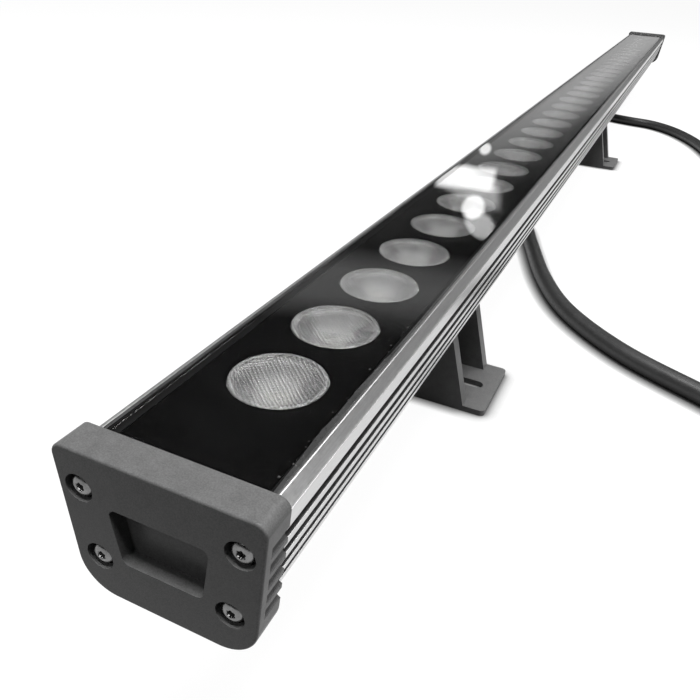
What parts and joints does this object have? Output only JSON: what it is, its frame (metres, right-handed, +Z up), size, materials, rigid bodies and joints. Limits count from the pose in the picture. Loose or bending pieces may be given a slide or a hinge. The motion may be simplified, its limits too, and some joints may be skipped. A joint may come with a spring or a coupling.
{
  "type": "outdoor wall washer light",
  "caption": "Long finned wall washer light with a strip of lenses under glass, screwed end caps, sliding and tilting stands, and a supply lead with its connector.",
  "frame": {"origin": "on the ground under the middle of the lamp, without its lead", "axes": "+Z up, +Y along the lamp from the near cap to the cap where the lead comes out"},
  "size_m": [0.2436, 1.093, 0.0772],
  "materials": {
    "housing_metal": "natural anodised, drawn grain along the length",
    "strip_glass": "clear tempered",
    "seal_silicone": "cured silicone, soft sheen",
    "mask_black": "matt black",
    "lens_clear": "clear acrylic, patterned inside",
    "holder_white": "moulded white",
    "emitter": "yellow phosphor under a clear dome",
    "board_white": "white solder resist",
    "screw_steel": "stainless, turned",
    "chip_black": "moulded black",
    "link_red": "insulated wire",
    "terminal_green": "moulded green",
    "core_brown": "insulated wire",
    "cap_grey": "charcoal powder coat with a fine texture",
    "stand_grey": "charcoal powder coat with a fine texture",
    "slider_metal": "sawn and drilled, anodised",
    "gasket_rubber": "soft black",
    "entry_brass": "turned",
    "lead_rubber": "black rubber sheath",
    "plug_black": "moulded black nylon"
  },
  "bodies": {
    "lamp": {"housing": "housing_metal", "glass_cover": "strip_glass", "glass_seal": "seal_silicone", "lens_mask": "mask_black", "lenses": "lens_clear", "lens_holders": "holder_white", "leds": "emitter", "near_led_board": "board_white", "far_led_board": "board_white", "board_screws": "screw_steel", "board_drivers": "chip_black", "board_links": "link_red", "supply_terminal": "terminal_green", "core_wires": "core_brown", "near_end_cap": "cap_grey", "far_end_cap": "cap_grey", "near_gasket": "gasket_rubber", "far_gasket": "gasket_rubber", "near_cap_screws": "screw_steel", "far_cap_screws": "screw_steel", "cable_boot": "lead_rubber", "boot_stem": "entry_brass", "boot_locknut": "entry_brass", "supply_cable": "lead_rubber", "plug_body": "plug_black", "plug_pins": "entry_brass"},
    "plug_ring": {"plug_nut": "plug_black"},
    "near_carriage": {"near_slider": "slider_metal", "near_lock_screws": "screw_steel"},
    "near_foot": {"near_stand": "stand_grey", "near_pivot_bolt": "screw_steel", "near_pivot_washers": "screw_steel", "near_pivot_nut": "screw_steel"},
    "far_carriage": {"far_slider": "slider_metal", "far_lock_screws": "screw_steel"},
    "far_foot": {"far_stand": "stand_grey", "far_pivot_bolt": "screw_steel", "far_pivot_washers": "screw_steel", "far_pivot_nut": "screw_steel"}
  },
  "joints": [
    {"name": "near_slide", "type": "slide", "parent": "lamp", "child": "near_carriage", "axis": [0, 1, 0], "range_m": [-0.12, 0.055]},
    {"name": "near_tilt", "type": "hinge", "parent": "near_carriage", "child": "near_foot", "pos_m": [0, -0.325, 0.0305], "axis": [0, 1, 0], "range_deg": [-80, 80]},
    {"name": "far_slide", "type": "slide", "parent": "lamp", "child": "far_carriage", "axis": [0, 1, 0], "range_m": [-0.055, 0.11]},
    {"name": "far_tilt", "type": "hinge", "parent": "far_carriage", "child": "far_foot", "pos_m": [0, 0.09, 0.0305], "axis": [0, 1, 0], "range_deg": [-80, 80]},
    {"name": "plug_nut_spin", "type": "hinge", "parent": "lamp", "child": "plug_ring", "pos_m": [-0.052, 0.021, 0.0093], "axis": [0, 1, 0], "continuous": true}
  ]
}
